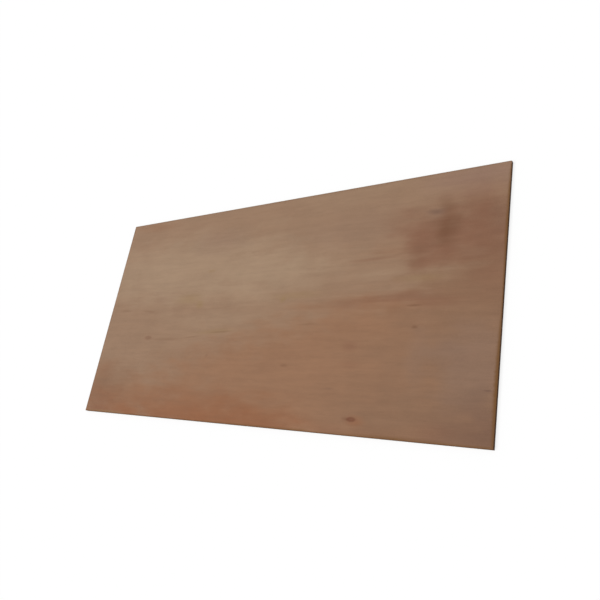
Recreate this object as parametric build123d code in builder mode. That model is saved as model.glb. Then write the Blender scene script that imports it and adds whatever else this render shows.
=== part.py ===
"""A full sheet of 18 mm plywood, lying on its back, in millimetres.

The sheet is one piece of pressed stock. X runs along the length and the face grain, Y across the
width and Z up through the plies. The origin is the centre of the back face.
"""

import os

from build123d import *

# Driving dimensions
sheet_length = 2440.0
sheet_width = 1220.0
core_veneer = 1.9
core_veneer_count = 9
face_veneer = 0.45
arris = 0.4

# The lay-up: the core veneers lie between the back veneer and the good face veneer, with a glue
# line under and over each one.
glue_lines = [face_veneer + ply * core_veneer for ply in range(core_veneer_count + 1)]
sheet_thickness = glue_lines[-1] + face_veneer

# The outline's height and inset at each level. The plies are sawn off flush, and the arris is
# sanded off through both face veneers.
back_level = [(0.0, arris)]
glue_levels = [(glue_line, 0.0) for glue_line in glue_lines]
good_face_level = [(sheet_thickness, arris)]

with BuildPart() as plywood_sheet:
    for height, inset in back_level + glue_levels + good_face_level:
        with BuildSketch(Plane.XY.offset(height)):
            Rectangle(sheet_length - 2 * inset, sheet_width - 2 * inset)
    # One solid through all levels, where each glue line stays as an edge round the four sides
    loft(ruled=True, clean=False)

plywood_sheet.part.label = "plywood_sheet"

os.makedirs("parts", exist_ok=True)
export_step(plywood_sheet.part, "parts/plywood_sheet.step")

print("sheet", sheet_length, sheet_width, sheet_thickness)
print("faces", len(plywood_sheet.faces()), "solids", len(plywood_sheet.solids()))
print("planes", len(plywood_sheet.faces().filter_by(GeomType.PLANE)))
print("volume", plywood_sheet.part.volume)
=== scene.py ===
"""A full sheet of reddish-brown plywood lying on a pale floor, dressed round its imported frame.

Lengths are in metres. X runs along the sheet and its face grain, Y across it and Z up through the
plies. The back face lies on the floor at Z = 0.
"""

from typing import NamedTuple

import bpy
import numpy as np
from mathutils import Euler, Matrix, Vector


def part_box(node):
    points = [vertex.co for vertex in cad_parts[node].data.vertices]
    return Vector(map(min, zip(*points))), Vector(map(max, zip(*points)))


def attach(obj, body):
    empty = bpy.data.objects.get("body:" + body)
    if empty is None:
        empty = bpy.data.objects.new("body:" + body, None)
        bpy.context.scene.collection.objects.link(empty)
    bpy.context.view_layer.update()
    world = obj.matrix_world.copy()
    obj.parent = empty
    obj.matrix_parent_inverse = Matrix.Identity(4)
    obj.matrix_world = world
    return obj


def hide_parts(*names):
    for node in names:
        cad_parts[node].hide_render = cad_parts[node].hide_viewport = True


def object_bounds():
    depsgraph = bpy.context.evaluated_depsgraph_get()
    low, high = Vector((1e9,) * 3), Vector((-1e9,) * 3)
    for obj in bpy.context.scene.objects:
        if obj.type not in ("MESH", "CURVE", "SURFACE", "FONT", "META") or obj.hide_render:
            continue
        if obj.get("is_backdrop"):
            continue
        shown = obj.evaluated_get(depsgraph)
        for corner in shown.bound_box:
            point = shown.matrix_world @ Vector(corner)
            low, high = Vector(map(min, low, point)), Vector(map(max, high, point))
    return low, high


bl_info = {
    "name": "Plywood Sheet",
    "version": (1, 0, 0),
    "blender": (4, 5, 0),
    "location": "View3D > Sidebar > Plywood",
    "description": "Builds a plywood sheet with its veneers, sawn edges and stage",
    "category": "Object",
}

NODE = "plywood_sheet"
BODY = "root"

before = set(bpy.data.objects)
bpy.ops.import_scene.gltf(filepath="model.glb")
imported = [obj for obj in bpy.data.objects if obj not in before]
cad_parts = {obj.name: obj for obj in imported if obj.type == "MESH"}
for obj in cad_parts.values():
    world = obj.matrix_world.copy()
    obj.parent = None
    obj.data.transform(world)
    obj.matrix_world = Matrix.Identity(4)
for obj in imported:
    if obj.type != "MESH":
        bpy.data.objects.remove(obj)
CAD_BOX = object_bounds()
SHEET_LOW, SHEET_HIGH = (np.array(corner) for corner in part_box(NODE))
SHEET_LENGTH, SHEET_WIDTH, SHEET_THICKNESS = (float(side) for side in SHEET_HIGH - SHEET_LOW)

RANDOM_SEED = 1220
# How many fine columns of a sawn edge meet one cell of a broad face
COLUMNS_PER_CELL = 4
# How far a row just inside a glue line lies from it, in core veneers
ROW_LIP = 0.06
# How far the columns beside a core gap stand from its walls
GAP_LIP = 0.0007
# The second wall of a core gap leans the other way, by this share of the first wall's lean
SECOND_LEAN = 0.6
# How much of a lost splinter reaches the row inside the arris
TEAR_SPREAD = 0.6
# The bake's map is a square of this many pixels, shared out in the pixel boxes below it: left,
# bottom, right, top. The short sides lie side by side.
MAP_SIDE = 1024
MAP_BOXES = {
    "good_face": (8, 8, 1016, 512),
    "back_face": (8, 524, 1016, 844),
    "near_long": (8, 856, 1016, 904),
    "near_short": (8, 968, 508, 1016),
    "far_long": (8, 912, 1016, 960),
    "far_short": (516, 968, 1016, 1016),
}
# The sides in the order of the walk round the sheet, each with the way it faces
SIDES = (
    ("near_long", (0.0, -1.0)),
    ("near_short", (1.0, 0.0)),
    ("far_long", (0.0, 1.0)),
    ("far_short", (-1.0, 0.0)),
)
GOOD_FACE, BACK_FACE, SAWN_EDGE = range(3)


class CoreGap(NamedTuple):
    """A joint left open between two strips of one core veneer, counted from the back.

    Place is its middle along the side, and lean is how far its walls slope over the veneer.
    """

    veneer: int
    place: float
    width: float
    lean: float


# Odd veneers run along the sheet, so their gaps open on the short sides, placed along Y. Even
# veneers run across it and open on the long sides, placed along X.
CORE_GAPS = (
    CoreGap(2, -0.947, 0.0042, 0.0004),
    CoreGap(6, -0.604, 0.0028, -0.0003),
    CoreGap(0, -0.283, 0.0035, 0.0002),
    CoreGap(4, 0.126, 0.0051, -0.0005),
    CoreGap(8, 0.418, 0.0024, 0.0003),
    CoreGap(2, 0.733, 0.0038, -0.0002),
    CoreGap(6, 1.061, 0.0030, 0.0004),
    CoreGap(3, -0.412, 0.0044, 0.0003),
    CoreGap(7, -0.087, 0.0026, -0.0004),
    CoreGap(1, 0.239, 0.0036, 0.0005),
    CoreGap(5, 0.487, 0.0031, -0.0003),
)


class Mark(NamedTuple):
    """A soft-edged area of one tint on a broad face: its centre, size, tint and strength.

    Solid is the share of its radius that has the full tint before it starts to fade. Turn is in
    degrees, from X towards Y.
    """

    x: float
    y: float
    length: float
    width: float
    tint: str
    strength: float
    solid: float = 0.05
    turn: float = 0.0


class Knot(NamedTuple):
    """A knot that the grain flows round: its centre, size along and across the grain, strength."""

    x: float
    y: float
    length: float
    width: float
    strength: float


# The good face's broad tints, laid one over the other in this order
GOOD_FACE_TINTS = (
    # The pale heart and the greyed areas beside it
    Mark(-0.60, 0.25, 2.50, 0.60, "pale", 0.70, 0.30),
    Mark(-0.05, 0.18, 0.90, 0.32, "pale", 0.55, 0.10),
    Mark(-0.78, 0.26, 0.56, 0.26, "pale", 0.38),
    Mark(-0.15, 0.07, 1.20, 0.18, "pale", 0.32),
    Mark(-0.30, -0.07, 1.40, 0.18, "pale", 0.34),
    Mark(0.22, 0.18, 0.70, 0.30, "pale", 0.38),
    Mark(-0.40, 0.42, 0.64, 0.22, "grey", 0.40),
    Mark(0.48, 0.38, 1.00, 0.34, "grey", 0.28),
    Mark(0.42, 0.56, 0.90, 0.18, "pale", 0.18),
    # The warm lower half, the brown and greyed right end, which is partly painted shade, and the brown
    # lower left corner
    Mark(0.40, -0.50, 3.20, 1.15, "warm", 0.95, 0.50, turn=9.0),
    Mark(-0.24, -0.32, 1.50, 0.40, "warm", 0.48, turn=6.0),
    Mark(0.66, -0.12, 1.20, 0.26, "warm", 0.85, turn=3.0),
    Mark(-0.90, -0.50, 1.10, 0.36, "warm", 0.90, 0.10),
    Mark(1.35, -0.16, 1.50, 1.50, "brown", 0.95, 0.42),
    Mark(0.72, -0.24, 0.80, 0.28, "brown", 0.45),
    Mark(0.88, -0.50, 1.40, 0.56, "brown", 0.84),
    Mark(0.88, -0.26, 0.18, 0.38, "grey", 0.35),
    Mark(1.12, -0.30, 0.40, 0.56, "grey", 0.60, 0.20),
    Mark(1.00, -0.22, 0.26, 0.18, "grey", 0.45),
    Mark(0.84, -0.08, 0.34, 0.13, "brown", 0.45),
    Mark(-1.14, -0.45, 0.80, 0.46, "brown", 0.85, 0.15),
    # The flush along the lower side, and the dark lower right corner, which is partly painted shade
    Mark(0.00, -0.64, 1.00, 0.38, "russet", 0.90, 0.10),
    Mark(-0.45, -0.55, 2.00, 0.32, "russet", 0.54),
    Mark(-0.36, -0.60, 0.74, 0.18, "russet", 0.75),
    Mark(-0.95, -0.64, 1.10, 0.26, "russet", 0.80, 0.10),
    Mark(-1.16, -0.52, 0.60, 0.30, "russet", 0.30, 0.20),
    Mark(0.75, -0.66, 1.20, 0.26, "russet", 0.50),
    Mark(0.52, -0.59, 0.26, 0.10, "flame", 0.26),
    Mark(-1.06, -0.60, 0.44, 0.09, "flame", 0.22),
    Mark(1.02, -0.62, 1.00, 0.30, "brown", 0.70),
    Mark(1.17, -0.59, 0.62, 0.44, "right_end_shade", 0.78),
    Mark(1.165, -0.46, 0.16, 0.36, "slate", 0.24),
    Mark(0.96, -0.57, 0.24, 0.14, "flame", 0.30),
    Mark(-1.12, -0.55, 0.36, 0.20, "flame", 0.26),
    Mark(-1.15, -0.34, 0.28, 0.18, "russet", 0.22),
    # The red-brown patch by the far right corner, and the pink beside it
    Mark(1.14, 0.26, 0.56, 0.46, "flame", 0.68, 0.10),
    Mark(0.93, 0.31, 0.58, 0.44, "flame", 0.66, 0.10),
    Mark(0.84, 0.24, 0.22, 0.32, "flame", 0.52, 0.20, turn=-10.0),
    Mark(0.91, 0.20, 0.26, 0.18, "flame", 0.50),
    Mark(0.80, 0.37, 0.36, 0.24, "flame", 0.19),
    Mark(1.10, 0.44, 0.48, 0.26, "flame", 0.60, turn=-12.0),
    Mark(0.72, 0.39, 0.30, 0.18, "flame", 0.24),
    Mark(0.70, 0.24, 0.30, 0.18, "russet", 0.14),
    # Partly painted shade at the far right corner
    Mark(1.19, 0.34, 0.14, 0.30, "right_end_shade", 0.26),
    Mark(1.16, 0.05, 0.36, 0.30, "flame", 0.30),
    Mark(1.08, 0.56, 0.80, 0.24, "rose", 0.60),
    # The reddened far left side
    Mark(-1.00, 0.585, 0.54, 0.10, "russet", 0.24),
)
# Streaks and smudges on top of the tints
GOOD_FACE_MARKS = (
    # The long red-brown streak and what lies beside it
    Mark(0.62, -0.012, 0.88, 0.140, "russet", 0.28),
    Mark(0.80, 0.012, 0.62, 0.080, "flame", 0.50),
    Mark(0.52, -0.015, 0.44, 0.070, "flame", 0.28),
    Mark(0.95, -0.020, 0.34, 0.090, "flame", 0.36),
    Mark(0.30, -0.020, 0.36, 0.050, "warm", 0.40),
    Mark(0.62, 0.206, 0.40, 0.030, "flame", 0.35, turn=2.0),
    Mark(0.66, 0.235, 0.26, 0.018, "flame", 0.22, turn=-2.0),
    Mark(0.62, 0.130, 0.44, 0.090, "pale", 0.35),
    Mark(0.86, 0.095, 0.34, 0.060, "olive", 0.35),
    # The smudge in the red-brown patch, and the small marks beside it
    Mark(0.955, 0.320, 0.18, 0.250, "smudge", 0.46, turn=-6.0),
    Mark(0.955, 0.420, 0.13, 0.130, "smudge", 0.34, turn=-10.0),
    Mark(1.000, 0.340, 0.07, 0.160, "smudge", 0.20, turn=-10.0),
    Mark(0.950, 0.315, 0.10, 0.150, "smudge", 0.32, turn=-8.0),
    Mark(0.932, 0.462, 0.12, 0.120, "smudge", 0.18, turn=-10.0),
    Mark(0.832, 0.205, 0.12, 0.220, "smudge", 0.16, turn=-8.0),
    Mark(1.090, 0.350, 0.22, 0.120, "flame", 0.40),
    Mark(1.080, 0.198, 0.22, 0.070, "pale", 0.16),
    Mark(0.898, 0.404, 0.16, 0.090, "grey", 0.30),
    Mark(0.901, 0.409, 0.13, 0.044, "slate", 0.66, turn=-8.0),
    # Greenish mineral stains, and a grey one
    Mark(-0.55, 0.065, 0.30, 0.110, "olive", 0.42),
    Mark(-0.46, 0.030, 0.09, 0.080, "olive", 0.60),
    Mark(-0.426, 0.229, 0.10, 0.030, "olive", 0.40),
    Mark(0.120, 0.030, 0.06, 0.045, "olive", 0.65, turn=35.0),
    Mark(0.200, 0.050, 0.46, 0.070, "olive", 0.34),
    Mark(-0.300, -0.130, 0.40, 0.045, "olive", 0.45, turn=3.0),
    Mark(-0.78, 0.075, 0.12, 0.060, "grey", 0.22),
    # Fine dark lines and specks, the tail of the lower knot, and small reddish marks
    Mark(-0.67, -0.171, 0.40, 0.026, "smudge", 0.27),
    Mark(-0.47, -0.160, 0.24, 0.014, "smudge", 0.26, turn=5.0),
    Mark(-0.26, -0.134, 0.24, 0.016, "smudge", 0.30, turn=2.0),
    Mark(-1.090, 0.015, 0.14, 0.022, "smudge", 0.22),
    Mark(-0.865, 0.002, 0.17, 0.022, "smudge", 0.22, turn=-6.0),
    Mark(0.300, -0.104, 0.18, 0.012, "smudge", 0.22),
    Mark(0.855, -0.130, 0.045, 0.022, "smudge", 0.50),
    Mark(0.840, -0.032, 0.090, 0.014, "smudge", 0.42),
    Mark(0.200, -0.310, 0.070, 0.022, "smudge", 0.28),
    Mark(-0.325, -0.262, 0.024, 0.034, "smudge", 0.26, turn=-30.0),
    Mark(0.470, -0.412, 0.090, 0.016, "slate", 0.30),
    Mark(1.185, -0.393, 0.050, 0.012, "slate", 0.90),
    Mark(0.589, -0.542, 0.086, 0.026, "smudge", 0.46),
    Mark(0.626, -0.550, 0.130, 0.066, "russet", 0.52),
    Mark(0.550, -0.215, 0.14, 0.070, "flame", 0.42),
    Mark(0.560, -0.300, 0.16, 0.060, "flame", 0.25),
    # Handled wood and a greenish strip on the near sides
    Mark(1.217, -0.37, 0.034, 0.66, "worn_rim", 0.90),
    Mark(1.217, 0.34, 0.028, 0.60, "worn_rim", 0.42),
    Mark(0.82, -0.607, 0.92, 0.036, "worn_rim", 0.48),
    Mark(0.10, -0.607, 0.80, 0.030, "worn_rim", 0.20),
    Mark(-1.020, -0.606, 0.44, 0.030, "olive", 0.60),
)
GOOD_FACE_KNOTS = (
    Knot(-0.824, -0.160, 0.066, 0.027, 0.27),
    Knot(0.607, -0.541, 0.056, 0.027, 0.57),
)
BACK_FACE_TINTS = (
    Mark(-0.60, 0.25, 2.20, 0.60, "pale", 0.60),
    Mark(0.80, -0.30, 1.80, 0.70, "warm", 0.70),
    Mark(0.90, 0.45, 1.30, 0.26, "grey", 0.50),
    Mark(-0.90, -0.46, 1.10, 0.28, "brown", 0.55),
)
BACK_FACE_KNOTS = (
    Knot(-0.43, -0.22, 0.046, 0.030, 0.70),
    Knot(0.97, 0.14, 0.038, 0.024, 0.50),
)


class Veneer(NamedTuple):
    """A broad face's veneer: its finish's name, what lies on it, and its grain's seed and fineness."""

    name: str
    ground: str
    tints: tuple
    marks: tuple
    knots: tuple
    seed: float
    fineness: float


GOOD_VENEER = Veneer(
    "Good face", "ground", GOOD_FACE_TINTS, GOOD_FACE_MARKS, GOOD_FACE_KNOTS, 0.0, 1.0
)
BACK_VENEER = Veneer("Back face", "back", BACK_FACE_TINTS, (), BACK_FACE_KNOTS, 40.0, 0.8)


class Waves(NamedTuple):
    """A stretched noise: its waves to a metre along X and across it, its detail and its seed."""

    along: float
    across: float
    detail: float = 2.0
    seed: float = 0.0


# The figure of the wood, its knots and its wear
WANDER = Waves(0.9, 3.0)
BANDS = Waves(0.6, 9.0, 3.0)
SLOW_RINGS = Waves(0.45, 2.6, 1.0, 7.0)
STREAKS = Waves(2.4, 74.0, 4.0, 3.0)
FIBRES = Waves(16.0, 620.0, 3.0, 5.0)
HAIRS = Waves(110.0, 3600.0, 2.0, 6.0)
CROWDING = Waves(3.0, 40.0, 2.0, 11.0)
KNOT_RIM = Waves(120.0, 260.0)
PATCHY_WEAR = Waves(7.0, 7.0, 4.0)
# What sways, clouds, mottles and frays the tints of a broad face
SWAY = Waves(1.6, 5.0, 3.0, 2.0)
CLOUD = Waves(5.0, 7.0, 4.0, 9.0)
MOTTLE = Waves(15.0, 21.0, 3.0, 12.0)
BLOTCHES = Waves(7.0, 16.0, 4.0, 15.0)
# The sawn edge
SAWN_STREAKS = Waves(22.0, 1400.0, 4.0)
FUZZ = Waves(900.0, 1500.0, 3.0, 1.0)
SAW_MARKS = Waves(420.0, 30.0, 2.0, 2.0)
SHEETS_PER_METRE = 1.7

# The power of y that draws a knot's ends out as an eye's are, and its halo's share of its strength
KNOT_POINT = 1.4
HALO_SHARE = 0.4
# A veneer's tone where no part of its figure lightens it
DARKEST_TONE = 0.848
PORE_STRENGTH = 0.55
GLUE_STRENGTH = 0.85
# The handled strip's strength, its reach in metres, and what is left of it along the far long side
WEAR_STRENGTH = 0.8
WEAR_REACH = 0.010
FAR_SIDE_WEAR = 0.3
# How high the grain of a veneer and of a sawn edge stands, in metres
VENEER_RELIEF = 0.00012
SAWN_RELIEF = 0.00015
WOOD_SPECULAR = 0.20
WHITE = (1.0, 1.0, 1.0, 1.0)
# The share of the floor that is white whatever light falls on it
FLOOR_OWN_WHITE = 0.77
FLOOR_SPOKES = 96
FLOOR_RINGS = 8


# Settings that a user would change


def linear(*srgb):
    """The linear colour of three 0 to 255 display values, with full alpha."""
    share = np.array(srgb) / 255
    curve = ((share + 0.055) / 1.055) ** 2.4
    return (*np.where(share <= 0.04045, share / 12.92, curve).tolist(), 1.0)


def colour(name, description, *srgb):
    """A colour setting, its default given as display values."""
    return bpy.props.FloatVectorProperty(
        name=name,
        description=description,
        subtype="COLOR",
        size=4,
        min=0.0,
        max=1.0,
        default=linear(*srgb),
    )


def distance(name, description, default):
    """A length setting in metres."""
    return bpy.props.FloatProperty(
        name=name,
        description=description,
        subtype="DISTANCE",
        unit="LENGTH",
        precision=5,
        min=0.0,
        default=default,
    )


def share_of_one(name, description, default):
    """A setting from 0 to 1."""
    return bpy.props.FloatProperty(
        name=name, description=description, subtype="FACTOR", min=0.0, max=1.0, default=default
    )


class PlywoodSizes(bpy.types.PropertyGroup):
    """The lay-up and the relief of the sheet."""

    core_veneer: distance("Core veneer", "Thickness of one core veneer", 0.0019)
    core_veneer_count: bpy.props.IntProperty(
        name="Core veneers", description="Number of veneers in the core", min=1, default=9
    )
    arris: distance("Arris", "How far the sanded edge of a broad face is drawn in", 0.0004)
    column: distance("Edge step", "Length of one facet along a sawn edge", 0.005)
    end_grain_recess: distance("End grain recess", "How far the saw sinks the end grain", 0.00010)
    glue_groove: distance("Glue groove", "Depth of the fine groove along a glue line", 0.00006)
    glue_wander: distance("Glue wander", "How far a glue line strays up and down", 0.00010)
    saw_roughness: distance("Saw roughness", "Height of the waves that the saw leaves", 0.00004)
    tear_out: distance("Tear-out", "Depth of the splinters lost from the arris", 0.0011)
    gap_depth: distance("Core gap depth", "How far the eye sees into an open core joint", 0.007)
    telegraph: distance("Telegraphing", "How far a broad face sinks over the core", 0.00012)


class VeneerFinish(bpy.types.PropertyGroup):
    """The colours of the two broad faces."""

    ground: colour("Ground", "The veneer between its tints", 149, 119, 95)
    pale: colour("Pale", "The pale beige heart of the sheet", 162, 136, 111)
    warm: colour("Warm", "The warm brown lower half", 147, 109, 82)
    brown: colour("Brown", "The brown end", 136, 103, 79)
    russet: colour("Russet", "The red-brown flush along the lower side", 141, 91, 60)
    flame: colour("Flame", "The red-brown streaks and the flushed corner", 128, 88, 67)
    olive: colour("Olive", "The greenish mineral stain", 147, 119, 84)
    rose: colour("Rose", "The faintly pink far side", 143, 113, 98)
    grey: colour("Grey", "The greyed areas", 137, 109, 91)
    # Partly painted shade: darkens the corners of the sheet's right end, together with the wood's own
    # tone.
    right_end_shade: colour("Dusk", "The dark corner", 116, 85, 67)
    slate: colour("Slate", "Small grey marks", 112, 84, 70)
    smudge: colour("Smudge", "Dark brown smudges and fine marks", 104, 67, 44)
    knot: colour("Knot", "The dark red-brown rings of a knot", 102, 44, 28)
    pore: colour("Pore", "The open pores of the wood", 96, 66, 48)
    back: colour("Back", "The back veneer between its tints", 154, 126, 101)
    worn_rim: colour("Worn rim", "Handled wood along the arris", 110, 74, 36)
    roughness: share_of_one("Roughness", "Roughness of the sanded veneer", 0.62)


class SawnEdgeFinish(bpy.types.PropertyGroup):
    """The colours of the sawn edges: the wood's own darker grain, darkened further with painted shade.
    """

    # Partly painted shade: these sawn-edge colours are the wood's own darker grain, darkened further
    # to stand for the shade the sides lie in.
    long_grain_and_shade: colour("Long grain", "Core veneers sawn along the grain", 112, 77, 47)
    end_grain: colour("End grain", "Core veneers sawn across the grain", 70, 43, 24)
    face_veneer: colour("Face veneer", "The thin outer veneers", 92, 59, 32)
    glue: colour("Glue", "The glue lines", 58, 35, 23)
    # Painted shade: the inside of an open core gap, painted near black where the gap lies in shade.
    gap_shade: colour("Hollow", "The inside of an open core joint", 34, 22, 16)
    roughness: share_of_one("Roughness", "Roughness of the sawn wood", 0.85)


class StageSettings(bpy.types.PropertyGroup):
    """The floor, the light and the camera."""

    floor_radius: distance("Floor radius", "How far the floor reaches", 60.0)
    floor_tone: share_of_one("Floor tone", "How much light the floor sends back to the sheet", 0.45)
    sky: share_of_one("Sky", "Share of the light that comes evenly from all round", 0.42)
    sun: share_of_one("Key", "Share of the light that comes from the key lamp", 0.59)
    sun_turn: bpy.props.FloatVectorProperty(
        name="Key turn",
        description="Turn of the key lamp, which shines down its own Z axis",
        subtype="EULER",
        unit="ROTATION",
        default=np.radians((30.0, 0.0, -40.0)).tolist(),
    )
    sun_spread: bpy.props.FloatProperty(
        name="Key spread",
        description="Apparent width of the key lamp, which softens its shadows",
        subtype="ANGLE",
        unit="ROTATION",
        default=float(np.radians(40.0)),
    )
    camera_place: bpy.props.FloatVectorProperty(
        name="Camera place",
        description="The camera's place above the sheet's frame",
        subtype="TRANSLATION",
        unit="LENGTH",
        default=(1.9380, -0.8908, 2.2601),
    )
    camera_turn: bpy.props.FloatVectorProperty(
        name="Camera turn",
        description="The camera's turn",
        subtype="EULER",
        unit="ROTATION",
        default=np.radians((24.599, 33.705, 11.418)).tolist(),
    )
    camera_lens: bpy.props.FloatProperty(
        name="Lens",
        description="The focal length on a 36 mm sensor",
        subtype="DISTANCE_CAMERA",
        unit="CAMERA",
        default=36.12,
    )


# The sheet's shape


def levels(sizes):
    """The rows round a sawn edge: their places in the lay-up and their kinds.

    A place in the lay-up counts core veneers upwards from the lowest glue line. The back veneer
    has a row at its arris and one a little over it. Each glue line has a row, and each core
    veneer has one just inside either glue line and one at its middle. The good face veneer
    mirrors the back one.
    """
    count = sizes.core_veneer_count
    face_veneer = (SHEET_THICKNESS / sizes.core_veneer - count) / 2
    outer = face_veneer * np.array([-1, -2 / 3])
    core = (np.arange(count)[:, None] + np.array([ROW_LIP, 0.5, 1 - ROW_LIP])).ravel()
    places = np.concatenate([outer, count - outer, np.arange(count + 1), core])
    kinds = np.repeat(["outer", "glue", "core"], [4, count + 1, len(core)])
    order = np.argsort(places)
    return places[order], kinds[order]


def glue_heights(lay_up, around, sizes, random):
    """The height of each row at each column round the sheet.

    A glue line strays by a sum of sine waves that close up round the sheet. The rows between two
    glue lines stray in proportion, and the outermost rows not at all.
    """
    lines = sizes.core_veneer_count + 1
    counts = np.array([5, 11, 19, 37, 71, 133])
    phases = random.uniform(0, 2 * np.pi, (lines, len(counts), 1))
    swings = (counts**-0.5)[:, None] * random.uniform(0.5, 1.5, (lines, len(counts), 1))
    walk = counts[:, None] * np.linspace(0, 2 * np.pi, around, endpoint=False)
    stray = (swings * np.sin(walk + phases)).sum(1)
    stray *= sizes.glue_wander / np.abs(stray).max()
    anchors = np.concatenate([[lay_up[1]], np.arange(lines), [lay_up[-2]]])
    known = np.vstack([np.zeros(around), stray, np.zeros(around)])
    above = np.clip(np.searchsorted(anchors, lay_up, "right"), 1, len(anchors) - 1)
    span = anchors[above] - anchors[above - 1]
    share = np.clip((lay_up - anchors[above - 1]) / span, 0, 1)
    strays = known[above - 1] * (1 - share[:, None]) + known[above] * share[:, None]
    return (lay_up - lay_up[0])[:, None] * sizes.core_veneer + strays


def is_long(facing):
    """Whether a side that faces this way runs along the sheet."""
    return facing[0] == 0.0


def gaps_on(facing):
    """The core gaps that open on a side that faces this way."""
    even = 0 if is_long(facing) else 1
    return [gap for gap in CORE_GAPS if gap.veneer % 2 == even]


def columns(facing, lay_up, step):
    """The place of each row and column along a side, and the two columns at each gap's walls.

    The columns are evenly spaced from corner to corner. Each gap then draws four of them to
    itself: its own two walls, and one more just outside each wall, so that the walls are steep.
    In the gap's own veneer the walls lean.
    """
    length = SHEET_LENGTH if is_long(facing) else SHEET_WIDTH
    cells = COLUMNS_PER_CELL * round(length / (step * COLUMNS_PER_CELL))
    places = np.tile(np.linspace(-length / 2, length / 2, cells + 1), (len(lay_up), 1))
    walls = []
    for gap in gaps_on(facing):
        nearest = int((gap.place / length + 0.5) * cells)
        wall = gap.width / 2
        lip = wall + GAP_LIP
        places[:, nearest - 1 : nearest + 3] = gap.place + np.array([-lip, -wall, wall, lip])
        rise = np.clip(lay_up - gap.veneer, 0, 1) - 0.5
        rise[np.abs(rise) == 0.5] = 0
        places[:, nearest] += gap.lean * rise
        places[:, nearest + 1] -= gap.lean * rise * SECOND_LEAN
        walls.append((nearest, nearest + 1))
    return places, walls


def waves(random, rows, count, reach):
    """Rows of smooth random waves: white noise averaged over a few neighbours, from 0 to 1."""
    raw = random.random((rows, count + reach))
    summed = np.cumsum(raw, axis=1)
    averaged = (summed[:, reach:] - summed[:, :-reach]) / reach
    low, high = averaged.min(), averaged.max()
    return (averaged - low) / (high - low)


def edge_depths(facing, lay_up, kinds, walls, count, sizes, random):
    """How far each row and column of a side lies behind the plane of the saw cut.

    The depth is the saw's waves, plus a groove on the glue lines, a recess where the veneer shows
    end grain, the arris on the outermost rows, the splinters lost there, and the open gaps.
    """
    depth = sizes.saw_roughness * waves(random, len(lay_up), count, 3)
    depth[kinds == "glue"] += sizes.glue_groove
    veneers = np.where(kinds == "core", np.floor(lay_up), -1)
    end_grain = (veneers >= 0) & (veneers % 2 == (0 if is_long(facing) else 1))
    depth[end_grain] += sizes.end_grain_recess * (0.5 + waves(random, end_grain.sum(), count, 2))
    depth[[0, -1]] += sizes.arris
    torn = waves(random, 2, count, 2) ** 6 * sizes.tear_out
    depth[[0, -1]] += torn
    depth[[1, -2]] += torn * TEAR_SPREAD
    for gap, pair in zip(gaps_on(facing), walls):
        depth[np.ix_(veneers == gap.veneer, pair)] += sizes.gap_depth
    return depth


def sawn_rim(sizes, random):
    """The rim's vertices as rows by columns by 3, the rows' lay-up, and each column's side.

    Each side is a straight line between two corners, moved inwards by its depths. A corner is
    shared by two sides and moves by both.
    """
    lay_up, kinds = levels(sizes)
    outline, inwards, side_of_column = [], [], []
    for index, (_, facing) in enumerate(SIDES):
        places, walls = columns(facing, lay_up, sizes.column)
        count = places.shape[1]
        depths = edge_depths(facing, lay_up, kinds, walls, count, sizes, random)
        normal = np.array(facing)
        along = np.array([-normal[1], normal[0]])
        half_depth = (SHEET_WIDTH if is_long(facing) else SHEET_LENGTH) / 2
        outline.append(places[:, :-1, None] * along + normal * half_depth)
        inwards.append(-depths[:, :, None] * normal)
        side_of_column.append(np.full(count - 1, index))
    for before, after in zip(inwards[-1:] + inwards[:-1], inwards):
        after[:, 0] += before[:, -1]
    flat = np.concatenate(outline, axis=1)
    flat += np.concatenate([move[:, :-1] for move in inwards], axis=1)
    heights = glue_heights(lay_up, flat.shape[1], sizes, random)
    rim = np.concatenate([flat, heights[:, :, None]], axis=2)
    return rim, lay_up, np.concatenate(side_of_column)


def telegraphing(x, y, depth):
    """How far a broad face sinks at (x, y): two crossed sets of slow waves, faded to 0 at the rim.

    Each set is a sine of its own way across the sheet, bent by a slower sine of the other way.
    """
    ripple_length, strip_width, margin = 0.41, 0.23, 0.08
    lengthwise = np.sin(2 * np.pi * (x / ripple_length + 0.3 * np.sin(5 * y)))
    crosswise = np.sin(2 * np.pi * (y / strip_width + 0.2 * np.sin(3 * x)))
    to_rim = np.minimum(SHEET_LENGTH / 2 - np.abs(x), SHEET_WIDTH / 2 - np.abs(y))
    share = np.clip(to_rim / margin, 0, 1) ** 2
    return depth * share * (0.5 + 0.25 * lengthwise + 0.25 * crosswise)


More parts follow.
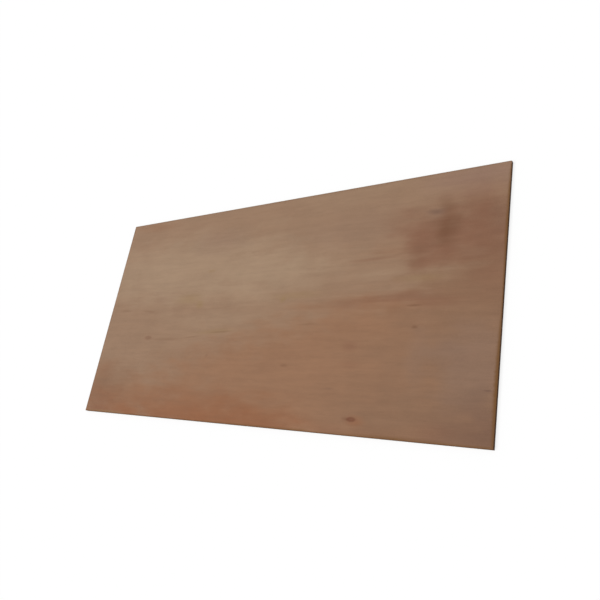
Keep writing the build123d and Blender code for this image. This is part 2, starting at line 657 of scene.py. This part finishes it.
def broad_face(rim, first_inner, sunk_from, down, sizes):
    """One broad face: its inner vertices, then its quads, rim cells and corner cells.

    The inner vertices stand on a square grid. A rim cell joins two of them to the fine columns
    beside them, and a corner cell joins one to the columns on both sides of a corner. rim is the
    first vertex of the rim's row, and down turns the faces over for the back.
    """
    step = sizes.column * COLUMNS_PER_CELL
    across = [round(side / step) for side in (SHEET_LENGTH, SHEET_WIDTH)]
    x, y = (
        np.linspace(-side / 2, side / 2, cells + 1)[1:-1]
        for side, cells in zip((SHEET_LENGTH, SHEET_WIDTH), across)
    )
    grid_x, grid_y = np.meshgrid(x, y)
    sink = telegraphing(grid_x, grid_y, sizes.telegraph)
    grid_z = sunk_from + (sink if down else -sink)
    points = np.stack([grid_x, grid_y, grid_z], 2).reshape(-1, 3)

    inner = first_inner + np.arange(grid_x.size).reshape(grid_x.shape)
    quads = [inner[:-1, :-1], inner[:-1, 1:], inner[1:, 1:], inner[1:, :-1]]
    quads = np.stack(quads, 2).reshape(-1, 4)

    # The inner grid's own rim, walked the same way round as the sheet's
    lines = [inner[0], inner[:, -1], inner[-1, ::-1], inner[::-1, 0]]
    around = 2 * sum(across) * COLUMNS_PER_CELL
    cells, corners, start = [], [], 0
    for line in lines:
        first = start + COLUMNS_PER_CELL * np.arange(1, len(line))
        fine = first[:, None] + np.arange(COLUMNS_PER_CELL + 1)
        cells.append(np.hstack([rim + fine, line[1:, None], line[:-1, None]]))
        corner = (start + np.arange(-COLUMNS_PER_CELL, COLUMNS_PER_CELL + 1)) % around
        corners.append(np.append(rim + corner, line[0]))
        start += COLUMNS_PER_CELL * (len(line) + 1)
    faces = [quads, np.concatenate(cells), np.array(corners)]
    return points, [group[:, ::-1] for group in faces] if down else faces


def sheet_surface(sizes, random):
    """All vertices and faces of the sheet, the vertices' lay-up, and the faces' finish and side.

    The rim is a closed band of quads. The two broad faces close it above and below.
    """
    rim, lay_up, side_of_column = sawn_rim(sizes, random)
    rows, around = rim.shape[:2]
    row, column = np.meshgrid(np.arange(rows - 1), np.arange(around), indexing="ij")
    after = (column + 1) % around
    corners = [row * around + column, row * around + after]
    corners += [corners[1] + around, corners[0] + around]
    band = np.stack(corners, 2).reshape(-1, 4)

    last_row = (rows - 1) * around
    top_points, top = broad_face(last_row, rim[..., 0].size, SHEET_THICKNESS, False, sizes)
    first_back = rim[..., 0].size + len(top_points)
    back_points, back = broad_face(0, first_back, 0.0, True, sizes)

    points = np.concatenate([rim.reshape(-1, 3), top_points, back_points])
    lay_ups = np.zeros(len(points))
    lay_ups[: rim[..., 0].size] = np.repeat(lay_up, around)
    groups = [band, *top, *back]
    finishes = [SAWN_EDGE] + [GOOD_FACE] * len(top) + [BACK_FACE] * len(back)
    finish = np.concatenate([np.full(len(g), f) for g, f in zip(groups, finishes)])
    sides = np.full(len(finish), -1)
    sides[: len(band)] = np.tile(side_of_column, rows - 1)
    return points, groups, lay_ups, finish, sides


def bake_map(points, corner_points, corner_finish, corner_side):
    """Each face corner's place on the bake's map.

    A broad face lies in its box by X and Y. A side lies in its box by its own length and by Z, so
    that the plies get more pixels across than they would at one scale.
    """
    place = points[corner_points]
    low = np.array([-SHEET_LENGTH / 2, -SHEET_WIDTH / 2, 0.0])
    share = (place - low) / np.array([SHEET_LENGTH, SHEET_WIDTH, SHEET_THICKNESS])
    found = np.zeros((len(place), 2))

    def fill(name, chosen, axes):
        """Puts the chosen corners into a box, by their shares of two of the sheet's sizes."""
        box = np.array(MAP_BOXES[name]) / MAP_SIDE
        found[chosen] = box[:2] + share[chosen][:, axes] * (box[2:] - box[:2])

    fill("good_face", corner_finish == GOOD_FACE, [0, 1])
    fill("back_face", corner_finish == BACK_FACE, [0, 1])
    for index, (name, facing) in enumerate(SIDES):
        fill(name, corner_side == index, [0 if is_long(facing) else 1, 2])
    return found


def sheet_mesh(sizes):
    """The sheet as one closed mesh, with its finishes, its map, and its edge's two attributes."""
    random = np.random.default_rng(RANDOM_SEED)
    points, groups, lay_ups, finish, sides = sheet_surface(sizes, random)
    mesh = bpy.data.meshes.new(NODE)
    mesh.from_pydata(points, [], [face for group in groups for face in group.tolist()])
    mesh.polygons.foreach_set("material_index", finish)
    mesh.polygons.foreach_set("use_smooth", finish != SAWN_EDGE)

    short = np.isin(sides, [i for i, (_, facing) in enumerate(SIDES) if not is_long(facing)])
    for name, domain, values in (("short_side", "FACE", short), ("lay_up", "POINT", lay_ups)):
        mesh.attributes.new(name, "FLOAT", domain).data.foreach_set("value", values.astype("f"))

    corner_points = np.empty(len(mesh.loops), np.int32)
    mesh.loops.foreach_get("vertex_index", corner_points)
    corners = np.concatenate([np.full(len(g), g.shape[1]) for g in groups])
    places = bake_map(points, corner_points, np.repeat(finish, corners), np.repeat(sides, corners))
    layer = mesh.uv_layers.new(name="OFBake")
    layer.uv.foreach_set("vector", places.astype("f").ravel())
    if mesh.validate():
        raise RuntimeError("the sheet's mesh had faces that Blender refused")
    return mesh


# Nodes


def socket(sockets, name):
    """The socket of this identifier, or else of this name or place in the list."""
    return next((s for s in sockets if s.identifier == name), None) or sockets[name]


def node(tree, kind, inputs=None, **settings):
    """A new node with its settings, its inputs linked to sockets or set to values."""
    made = tree.nodes.new(kind)
    for name, value in settings.items():
        setattr(made, name, value)
    for name, value in (inputs or {}).items():
        place = socket(made.inputs, name)
        if isinstance(value, bpy.types.NodeSocket):
            tree.links.new(value, place)
        else:
            place.default_value = value
    return made


def maths(tree, operation, *values):
    """The result of a Math node on up to three values."""
    made = node(tree, "ShaderNodeMath", dict(enumerate(values)), operation=operation)
    return made.outputs["Value"]


def vector_maths(tree, operation, *values):
    """The vector result of a Vector Math node."""
    made = node(tree, "ShaderNodeVectorMath", dict(enumerate(values)), operation=operation)
    return made.outputs["Vector"]


def vector_of(tree, **parts):
    """A vector put together from its parts. A part that isn't given is 0."""
    return node(tree, "ShaderNodeCombineXYZ", parts).outputs["Vector"]


def parts_of(tree, vector):
    """The X, Y and Z of a vector."""
    return node(tree, "ShaderNodeSeparateXYZ", {"Vector": vector}).outputs


def fade(tree, value, low, high, to_low=0.0, to_high=1.0):
    """The value carried smoothly from low..high to to_low..to_high, and held at the ends."""
    places = {"Value": value, "From Min": low, "From Max": high, "To Min": to_low, "To Max": to_high}
    made = node(tree, "ShaderNodeMapRange", places, interpolation_type="SMOOTHSTEP")
    return made.outputs["Result"]


def swung(tree, value, swing, middle=0.0):
    """The middle, moved by up to the swing either way as the value runs from 0 to 1."""
    return maths(tree, "MULTIPLY_ADD", value, 2 * swing, middle - swing)


def ripples(tree, value, pace):
    """The sine of the value times the pace, carried from -1..1 to 0..1."""
    wave = maths(tree, "SINE", maths(tree, "MULTIPLY", value, pace))
    return maths(tree, "MULTIPLY_ADD", wave, 0.5, 0.5)


def added_up(tree, start, *layers):
    """The start plus each layer's value times its amount."""
    total = start
    for value, amount in layers:
        total = maths(tree, "MULTIPLY_ADD", value, amount, total)
    return total


def inside_by(tree, place, size):
    """How far a place on one axis lies inside the sheet: half the size less its own distance."""
    return maths(tree, "SUBTRACT", size / 2, maths(tree, "ABSOLUTE", place))


def blend(tree, factor, a, b, mode="MIX"):
    """Colour a blended towards colour b by the factor."""
    places = {"Factor_Float": factor, "A_Color": a, "B_Color": b}
    made = node(tree, "ShaderNodeMix", places, data_type="RGBA", blend_type=mode)
    return socket(made.outputs, "Result_Color")


def paint(tree, base, tint, mask, strength):
    """The base with the tint laid over it, by the mask times the strength."""
    return blend(tree, maths(tree, "MULTIPLY", mask, strength), base, tint)


def toned(tree, base, tone):
    """The base with its red, green and blue multiplied by the tone."""
    grey = node(tree, "ShaderNodeCombineColor", {"Red": tone, "Green": tone, "Blue": tone})
    return blend(tree, 1.0, base, grey.outputs["Color"], "MULTIPLY")


def noise(tree, vector, waves, seed=0.0):
    """Flat noise on the vector, stretched as its waves say and moved by the sum of both seeds."""
    seed += waves.seed
    stretch = (waves.along, waves.across, 1.0)
    places = {"Vector": vector, "Location": (seed * 3.1, seed * 7.3, 0.0), "Scale": stretch}
    moved = node(tree, "ShaderNodeMapping", places).outputs["Vector"]
    places = {"Vector": moved, "Scale": 1.0, "Detail": waves.detail}
    return node(tree, "ShaderNodeTexNoise", places, noise_dimensions="2D").outputs["Fac"]


def to_nearest_point(tree, vector, along, across):
    """The distance to the nearest of many scattered points, measured in their spacing.

    There are this many points to a metre along the vector's X and Y.
    """
    places = {"Vector": vector, "Scale": (along, across, 1.0)}
    places = {"Vector": node(tree, "ShaderNodeMapping", places).outputs["Vector"], "Scale": 1.0}
    return node(tree, "ShaderNodeTexVoronoi", places, voronoi_dimensions="2D").outputs["Distance"]


def new_group(name, vectors, numbers, results):
    """A shader node group, the sockets that it is given and the sockets that it fills.

    It is given these vectors, and these numbers with their defaults. Its results are numbers.
    """
    tree = bpy.data.node_groups.new(name, "ShaderNodeTree")
    for label in vectors:
        tree.interface.new_socket(label, in_out="INPUT", socket_type="NodeSocketVector")
    for label, default in numbers.items():
        made = tree.interface.new_socket(label, in_out="INPUT", socket_type="NodeSocketFloat")
        made.default_value = default
    for label in results:
        tree.interface.new_socket(label, in_out="OUTPUT", socket_type="NodeSocketFloat")
    given = tree.nodes.new("NodeGroupInput").outputs
    return tree, given, tree.nodes.new("NodeGroupOutput").inputs


def put_out(tree, filled, **values):
    """Links each value to the group's result of its name."""
    for name, value in values.items():
        tree.links.new(value, filled[name])


def place_group(tree, group, **inputs):
    """The outputs of a node that uses the group in this tree."""
    return node(tree, "ShaderNodeGroup", inputs, node_tree=group).outputs


# Effects shared by the finishes


def wood_figure_group():
    """The figure of sliced wood with its grain along X.

    The grain wanders a little. On it lie broad bands, narrower streaks, fine fibres and hair-fine
    fibres, each a noise stretched along the grain, short dark pores that crowd in places, and
    rings that are the level lines of a slow noise. The height is the fibres' less the pores'.
    """
    results = ("Bands", "Rings", "Streaks", "Fibres", "Hairs", "Pores", "Height")
    numbers = {"Fineness": 1.0, "Seed": 0.0}
    tree, given, filled = new_group("Wood figure", ("Vector",), numbers, results)
    seed = given["Seed"]
    place = vector_maths(tree, "ADD", given["Vector"], vector_of(tree, X=seed, Y=seed))
    wander = swung(tree, noise(tree, place, WANDER), 0.018)
    grain = vector_maths(tree, "ADD", place, vector_of(tree, Y=wander))
    scaled = {0: grain, "Scale": given["Fineness"]}
    fine = node(tree, "ShaderNodeVectorMath", scaled, operation="SCALE").outputs["Vector"]

    fibres = noise(tree, fine, FIBRES)
    hairs = noise(tree, fine, HAIRS)
    dash = fade(tree, to_nearest_point(tree, fine, 110.0, 1900.0), 0.30, 0.15)
    crowding = fade(tree, noise(tree, grain, CROWDING), 0.36, 0.66, 0.22, 1.0)
    pores = maths(tree, "MULTIPLY", dash, crowding)
    put_out(
        tree,
        filled,
        Bands=noise(tree, grain, BANDS),
        Rings=ripples(tree, noise(tree, grain, SLOW_RINGS), 95.0),
        Streaks=noise(tree, fine, STREAKS),
        Fibres=fibres,
        Hairs=hairs,
        Pores=pores,
        Height=added_up(tree, 0.4, (fibres, 0.35), (hairs, 0.15), (pores, -0.4)),
    )
    return tree


def from_centre(tree, given, **turn):
    """The given place measured from the given centre, in half lengths and half widths."""
    places = {"Vector": given["Vector"], "Location": given["Centre"], "Scale": given["Size"]}
    made = node(tree, "ShaderNodeMapping", places | turn, vector_type="TEXTURE")
    return made.outputs["Vector"]


def soft_patch_group():
    """A mask that falls smoothly from 1 to 0 on an ellipse, frayed by a noise.

    The distance from the centre is measured in radii of the ellipse. The mask is 1 up to Solid
    radii and 0 from one radius outwards.
    """
    vectors = ("Vector", "Centre", "Size", "Turn")
    numbers = {"Solid": 0.05, "Fray": 0.0}
    tree, given, filled = new_group("Soft patch", vectors, numbers, ("Mask",))
    local = from_centre(tree, given, Rotation=given["Turn"])
    reach = node(tree, "ShaderNodeVectorMath", {0: local}, operation="LENGTH").outputs["Value"]
    frayed = maths(tree, "ADD", reach, given["Fray"])
    put_out(tree, filled, Mask=fade(tree, frayed, 1.0, given["Solid"]))
    return tree


def knot_group():
    """A knot shaped as an eye: its reach is x to the power 2 plus y to the power KNOT_POINT.

    Here x and y are in half lengths and half widths, and a little noise is added to the reach.

    Core is 1 inside the eye, Halo fades outwards from it, and Rings runs from dark to light and
    back along the reach. Push is how far the grain beside the knot is drawn from, across the
    grain: the distance from the knot's middle line, shrunk near the knot.
    """
    results = ("Push", "Core", "Halo", "Rings")
    tree, given, filled = new_group("Knot", ("Vector", "Centre", "Size"), {}, results)
    local = parts_of(tree, from_centre(tree, given))
    across = maths(tree, "POWER", maths(tree, "ABSOLUTE", local["Y"]), KNOT_POINT)
    reach = maths(tree, "MULTIPLY_ADD", local["X"], local["X"], across)
    reach = maths(tree, "ADD", reach, swung(tree, noise(tree, given["Vector"], KNOT_RIM), 0.2))
    off_line = maths(tree, "MULTIPLY", local["Y"], parts_of(tree, given["Size"])["Y"])
    put_out(
        tree,
        filled,
        Push=maths(tree, "MULTIPLY", off_line, fade(tree, reach, 3.2, 0.4, 0.0, -0.85)),
        Core=fade(tree, reach, 1.05, 0.45),
        Halo=fade(tree, reach, 2.6, 0.6),
        Rings=ripples(tree, reach, 17.0),
    )
    return tree


def rim_wear_group():
    """A mask for the handled strip along the sheet's four sides, broken up by two noises.

    It falls from 1 at the side to 0 at its reach, and is fainter along the far long side.
    """
    numbers = {"Reach": WEAR_REACH, "Streaks": 0.5}
    tree, given, filled = new_group("Rim wear", ("Vector",), numbers, ("Mask",))
    parts = parts_of(tree, given["Vector"])
    to_end = inside_by(tree, parts["X"], SHEET_LENGTH)
    nearest = maths(tree, "MINIMUM", to_end, inside_by(tree, parts["Y"], SHEET_WIDTH))
    broken = maths(tree, "MULTIPLY_ADD", noise(tree, given["Vector"], PATCHY_WEAR), 1.8, -0.4)
    broken = maths(tree, "ADD", broken, given["Streaks"])
    reach = maths(tree, "MULTIPLY", given["Reach"], broken)
    share = maths(tree, "DIVIDE", nearest, maths(tree, "MAXIMUM", reach, 0.001))
    far_side = SHEET_WIDTH / 2
    handling = fade(tree, parts["Y"], far_side - 0.02, far_side - 0.01, 1.0, FAR_SIDE_WEAR)
    put_out(tree, filled, Mask=maths(tree, "MULTIPLY", fade(tree, share, 1.0, 0.0), handling))
    return tree


class Effects(NamedTuple):
    """The shared node groups."""

    figure: bpy.types.NodeTree
    patch: bpy.types.NodeTree
    knot: bpy.types.NodeTree
    wear: bpy.types.NodeTree


# Finishes


def new_finish(name):
    """An empty material and its node tree."""
    made = bpy.data.materials.new(name)
    made.use_nodes = True
    made.node_tree.nodes.clear()
    return made, made.node_tree


def own_place(tree):
    """The place on the piece, in its own coordinates."""
    return tree.nodes.new("ShaderNodeTexCoord").outputs["Object"]


def finish_with(tree, base, roughness, height, relief):
    """Closes a finish with a Principled shader and a Bump that stands this high, in metres."""
    bump = node(tree, "ShaderNodeBump", {"Height": height, "Strength": 1.0, "Distance": relief})
    places = {
        "Base Color": base,
        "Roughness": roughness,
        "Specular IOR Level": WOOD_SPECULAR,
        "Normal": bump.outputs["Normal"],
    }
    shader = node(tree, "ShaderNodeBsdfPrincipled", places)
    node(tree, "ShaderNodeOutputMaterial", {"Surface": shader.outputs["BSDF"]})


def knots_in(tree, effects, place, knots):
    """Leads the grain's vector round each knot, and returns it with the knots' masks."""
    found = []
    for knot in knots:
        size = (knot.length / 2, knot.width / 2, 1.0)
        masks = place_group(
            tree, effects.knot, Vector=place, Centre=(knot.x, knot.y, 0.0), Size=size
        )
        place = vector_maths(tree, "ADD", place, vector_of(tree, Y=masks["Push"]))
        found.append(masks)
    return place, found


def paint_knots(tree, base, knots, found, colours):
    """Darkens the halo and fills the core of each knot with its rings."""
    for knot, masks in zip(knots, found):
        base = paint(tree, base, colours.flame, masks["Halo"], knot.strength * HALO_SHARE)
        ring = blend(tree, masks["Rings"], colours.knot, colours.smudge)
        base = paint(tree, base, ring, masks["Core"], knot.strength)
    return base


def paint_marks(tree, effects, base, place, marks, ragged, colours):
    """Lays each mark's tint over the base, its rim frayed by a noise."""
    fray = swung(tree, ragged, 0.3)
    for mark in marks:
        mask = place_group(
            tree,
            effects.patch,
            Vector=place,
            Centre=(mark.x, mark.y, 0.0),
            Size=(mark.length / 2, mark.width / 2, 1.0),
            Turn=(0.0, 0.0, np.radians(mark.turn)),
            Solid=mark.solid,
            Fray=fray,
        )["Mask"]
        base = paint(tree, base, getattr(colours, mark.tint), mask, mark.strength)
    return base


def figure_tone(tree, place, figure, seed):
    """How light the veneer is: DARKEST_TONE plus an amount of each part of its figure."""
    cloud = noise(tree, place, CLOUD, seed)
    mottle = noise(tree, place, MOTTLE, seed)
    return added_up(
        tree,
        DARKEST_TONE,
        (fade(tree, figure["Bands"], 0.3, 0.7), 0.012),
        (figure["Rings"], 0.010),
        (fade(tree, cloud, 0.25, 0.75), 0.050),
        (fade(tree, mottle, 0.25, 0.75), 0.022),
        (fade(tree, figure["Streaks"], 0.3, 0.7), 0.015),
        (fade(tree, figure["Fibres"], 0.3, 0.7), 0.080),
        (fade(tree, figure["Hairs"], 0.3, 0.7), 0.110),
    )


def veneer_finish(veneer, effects, colours):
    """A sanded veneer: ground, tints, figure, marks, knots, pores and the worn rim."""
    made, tree = new_finish(veneer.name)
    seen = own_place(tree)
    flat = vector_maths(tree, "MULTIPLY", seen, (1.0, 1.0, 0.0))
    sway = swung(tree, noise(tree, seen, SWAY, veneer.seed), 0.04)
    swayed = vector_maths(tree, "ADD", flat, vector_of(tree, X=sway, Y=sway))
    grain, knots = knots_in(tree, effects, flat, veneer.knots)
    figure = place_group(
        tree, effects.figure, Vector=grain, Fineness=veneer.fineness, Seed=veneer.seed
    )
    streaks = figure["Streaks"]

    blotches = noise(tree, flat, BLOTCHES, veneer.seed)
    base = getattr(colours, veneer.ground)
    base = paint_marks(tree, effects, base, swayed, veneer.tints, blotches, colours)
    base = toned(tree, base, figure_tone(tree, flat, figure, veneer.seed))
    base = paint_marks(tree, effects, base, flat, veneer.marks, streaks, colours)
    base = paint_knots(tree, base, veneer.knots, knots, colours)
    base = paint(tree, base, colours.pore, figure["Pores"], PORE_STRENGTH)
    wear = place_group(tree, effects.wear, Vector=flat, Reach=WEAR_REACH, Streaks=streaks)
    base = paint(tree, base, colours.worn_rim, wear["Mask"], WEAR_STRENGTH)

    roughness = swung(tree, streaks, 0.08, colours.roughness)
    finish_with(tree, base, roughness, figure["Height"], VENEER_RELIEF)
    return made


def sawn_finish(sizes, colours):
    """The sawn edge: plies of long grain and end grain by turns, with dark glue lines between.

    A ply's number is the mesh's lay-up value rounded down. Even plies show end grain on the long
    sides, odd ones on the short sides. The plies' colours hold painted shade as well as the wood's
    own darkness, and the deep places of a side, most of all an open core gap, are painted dark as
    painted shade.
    """
    made, tree = new_finish("Sawn edge")
    parts = parts_of(tree, own_place(tree))
    short, lay_up = (
        node(tree, "ShaderNodeAttribute", attribute_name=name).outputs["Fac"]
        for name in ("short_side", "lay_up")
    )

    def by_side(on_long, on_short):
        """The first value on a long side and the second on a short one."""
        places = {"Factor_Float": short, "A_Float": on_long, "B_Float": on_short}
        picked = node(tree, "ShaderNodeMix", places, data_type="FLOAT")
        return socket(picked.outputs, "Result_Float")

    along = by_side(parts["X"], parts["Y"])
    ply = maths(tree, "FLOOR", lay_up)
    odd = maths(tree, "PINGPONG", ply, 1.0)
    end_grain = by_side(maths(tree, "SUBTRACT", 1.0, odd), odd)

    # Each ply has a strip of the noises to itself.
    strip = vector_of(tree, X=along, Y=maths(tree, "MULTIPLY_ADD", ply, 3.7, parts["Z"]))
    fuzz = noise(tree, strip, FUZZ)
    pits = to_nearest_point(tree, strip, 1900.0, 1900.0)
    long_tone = fade(tree, noise(tree, strip, SAWN_STREAKS), 0.25, 0.75, 0.72, 1.18)
    fuzz_tone = fade(tree, fuzz, 0.3, 0.7, 0.75, 1.2)
    end_tone = maths(tree, "MULTIPLY", fuzz_tone, fade(tree, pits, 0.1, 0.4, 0.66, 1.05))
    # The plies' colours carry painted shade as well as the wood's own tone.
    long_colour = toned(tree, colours.long_grain_and_shade, long_tone)
    base = blend(tree, end_grain, long_colour, toned(tree, colours.end_grain, end_tone))

    # Each ply is laid from sheets of its own, so its colour changes at their joints.
    sheet_number = maths(tree, "MULTIPLY", along, SHEETS_PER_METRE)
    sheet_number = maths(tree, "FLOOR", maths(tree, "MULTIPLY_ADD", ply, 0.377, sheet_number))
    key = vector_of(tree, X=sheet_number, Y=ply, Z=short)
    shade = node(tree, "ShaderNodeTexWhiteNoise", {"Vector": key}).outputs["Value"]
    base = toned(tree, base, fade(tree, shade, 0.0, 1.0, 0.82, 1.16))

    middle = sizes.core_veneer_count / 2
    to_middle = maths(tree, "ABSOLUTE", maths(tree, "SUBTRACT", lay_up, middle))
    outer = maths(tree, "GREATER_THAN", to_middle, middle)
    base = blend(tree, outer, base, toned(tree, colours.face_veneer, long_tone))

    within = maths(tree, "FRACT", lay_up)
    to_line = maths(tree, "ABSOLUTE", maths(tree, "SUBTRACT", within, 0.5))
    inside = maths(tree, "LESS_THAN", to_middle, middle + 0.03)
    glue = maths(tree, "MULTIPLY", fade(tree, to_line, 0.455, 0.485), inside)
    base = paint(tree, base, colours.glue, glue, GLUE_STRENGTH)

    # Painted shade: the deeper a point of a sawn side lies inside the sheet's outline, from 0.8 mm to
    # 4 mm, the more it takes the dark gap colour, in open core gaps and deep tear-outs.
    sunk_on_long = inside_by(tree, parts["Y"], SHEET_WIDTH)
    sunk = by_side(sunk_on_long, inside_by(tree, parts["X"], SHEET_LENGTH))
    base = blend(tree, fade(tree, sunk, 0.0008, 0.004), base, colours.gap_shade)

    saw_marks = noise(tree, strip, SAW_MARKS)
    height = added_up(tree, 0.0, (fuzz, 0.5), (saw_marks, 0.35), (glue, -0.4))
    roughness = swung(tree, fuzz, 0.07, colours.roughness)
    finish_with(tree, base, roughness, height, SAWN_RELIEF)
    return made


# The stage


def floor_mesh(radius):
    """A flat disc: rings of a polar grid that grow wider outwards, closed to a fan at the centre."""
    turns = np.linspace(0, 2 * np.pi, FLOOR_SPOKES, endpoint=False)
    rings = radius * np.linspace(0, 1, FLOOR_RINGS + 1)[1:] ** 2
    spokes = np.stack([np.cos(turns), np.sin(turns), np.zeros(len(turns))], 1)
    points = np.concatenate([np.zeros((1, 3)), (rings[:, None, None] * spokes).reshape(-1, 3)])
    column = np.arange(len(turns))
    after = (column + 1) % len(turns)
    fan = np.stack([np.zeros(len(turns), int), 1 + column, 1 + after], 1)
    first = 1 + len(turns) * np.arange(len(rings) - 1)[:, None]
    quads = [first + column, first + len(turns) + column]
    quads += [first + len(turns) + after, first + after]
    quads = np.stack(quads, 2).reshape(-1, 4)
    mesh = bpy.data.meshes.new("floor")
    mesh.from_pydata(points, [], fan.tolist() + quads.tolist())
    return mesh


def seen_directly(tree):
    """1 for rays that carry what the eye sees, straight, mirrored or through glass."""
    path = tree.nodes.new("ShaderNodeLightPath").outputs
    straight = maths(tree, "MAXIMUM", path["Is Camera Ray"], path["Is Glossy Ray"])
    return maths(tree, "MAXIMUM", straight, path["Is Transmission Ray"])


def floor_finish(tone):
    """A dull floor that looks white, keeps a light shadow and sends less light to the sheet."""
    made, tree = new_finish("Pale floor")
    seen = seen_directly(tree)
    shown = blend(tree, seen, (tone, tone, tone, 1.0), WHITE)
    lit = node(tree, "ShaderNodeBsdfDiffuse", {"Color": shown}).outputs["BSDF"]
    own = node(tree, "ShaderNodeEmission", {"Color": WHITE, "Strength": 1.0}).outputs["Emission"]
    share = maths(tree, "MULTIPLY", seen, FLOOR_OWN_WHITE)
    shader = node(tree, "ShaderNodeMixShader", {"Fac": share, 1: lit, 2: own})
    node(tree, "ShaderNodeOutputMaterial", {"Surface": shader.outputs["Shader"]})
    return made


def set_sky(sky):
    """An even white sky that looks white and lights the sheet by its share."""
    world = bpy.data.worlds.new("Studio")
    bpy.context.scene.world = world
    world.use_nodes = True
    tree = world.node_tree
    tree.nodes.clear()
    level = maths(tree, "MAXIMUM", seen_directly(tree), sky)
    shader = node(tree, "ShaderNodeBackground", {"Color": WHITE, "Strength": level})
    node(tree, "ShaderNodeOutputWorld", {"Surface": shader.outputs["Background"]})


def set_key(stage):
    """A soft key lamp. Its level makes a flat white surface as bright as its share of white."""
    lamp = bpy.data.lights.new("key", "SUN")
    lamp.angle = stage.sun_spread
    turn = Euler(stage.sun_turn)
    upright = turn.to_matrix()[2][2]
    lamp.energy = stage.sun * np.pi / upright
    key = bpy.data.objects.new("key", lamp)
    key.rotation_euler = turn
    bpy.context.scene.collection.objects.link(key)


def set_camera(stage):
    """The camera that looks down on the sheet."""
    camera = bpy.data.objects.new("camera", bpy.data.cameras.new("camera"))
    camera.data.lens = stage.camera_lens
    camera.location = stage.camera_place
    camera.rotation_euler = stage.camera_turn
    bpy.context.scene.collection.objects.link(camera)
    bpy.context.scene.camera = camera


# Operators and panel


class PLYWOOD_OT_sheet(bpy.types.Operator):
    """Build the plywood sheet and its finishes"""

    bl_idname = "plywood.sheet"
    bl_label = "Build Sheet"

    def execute(self, context):
        scene = context.scene
        sizes, colours = scene.plywood_sizes, scene.plywood_veneer
        effects = Effects(
            wood_figure_group(), soft_patch_group(), knot_group(), rim_wear_group()
        )
        finishes = [
            veneer_finish(veneer, effects, colours) for veneer in (GOOD_VENEER, BACK_VENEER)
        ]
        finishes.append(sawn_finish(sizes, scene.plywood_edge))
        sheet = bpy.data.objects.new("plywood_board", sheet_mesh(sizes))
        scene.collection.objects.link(sheet)
        for finish in finishes:
            sheet.data.materials.append(finish)
        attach(sheet, BODY)
        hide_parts(NODE)
        return {"FINISHED"}


class PLYWOOD_OT_stage(bpy.types.Operator):
    """Lay the floor, and set the light and the camera"""

    bl_idname = "plywood.stage"
    bl_label = "Set Stage"

    def execute(self, context):
        scene = context.scene
        stage = scene.plywood_stage
        floor = bpy.data.objects.new("floor", floor_mesh(stage.floor_radius))
        floor.data.materials.append(floor_finish(stage.floor_tone))
        scene.collection.objects.link(floor)
        floor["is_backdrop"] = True
        set_sky(stage.sky)
        set_key(stage)
        set_camera(stage)
        scene.view_settings.view_transform = "Standard"
        return {"FINISHED"}


class PLYWOOD_PT_panel(bpy.types.Panel):
    """The sheet's settings and operators"""

    bl_idname = "PLYWOOD_PT_panel"
    bl_label = "Plywood Sheet"
    bl_space_type = "VIEW_3D"
    bl_region_type = "UI"
    bl_category = "Plywood"

    def draw(self, context):
        for group in SETTINGS:
            settings = getattr(context.scene, group)
            box = self.layout.box()
            for name in settings.bl_rna.properties.keys():
                if name not in ("rna_type", "name"):
                    box.prop(settings, name)
        self.layout.operator(PLYWOOD_OT_sheet.bl_idname)
        self.layout.operator(PLYWOOD_OT_stage.bl_idname)


SETTINGS = {
    "plywood_sizes": PlywoodSizes,
    "plywood_veneer": VeneerFinish,
    "plywood_edge": SawnEdgeFinish,
    "plywood_stage": StageSettings,
}
CLASSES = (*SETTINGS.values(), PLYWOOD_OT_sheet, PLYWOOD_OT_stage, PLYWOOD_PT_panel)


def register():
    """Makes the classes known, and hangs the settings on the scene."""
    for each in CLASSES:
        bpy.utils.register_class(each)
    for name, kind in SETTINGS.items():
        setattr(bpy.types.Scene, name, bpy.props.PointerProperty(type=kind))


def unregister():
    """Takes the settings off the scene, and the classes out again."""
    for name in SETTINGS:
        delattr(bpy.types.Scene, name)
    for each in reversed(CLASSES):
        bpy.utils.unregister_class(each)


def main():
    """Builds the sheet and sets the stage."""
    register()
    bpy.ops.plywood.sheet()
    bpy.ops.plywood.stage()
    boxes = {"cad": CAD_BOX, "visual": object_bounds()}
    {name: [list(corner) for corner in box] for name, box in boxes.items()}


if __name__ == "__main__":
    main()
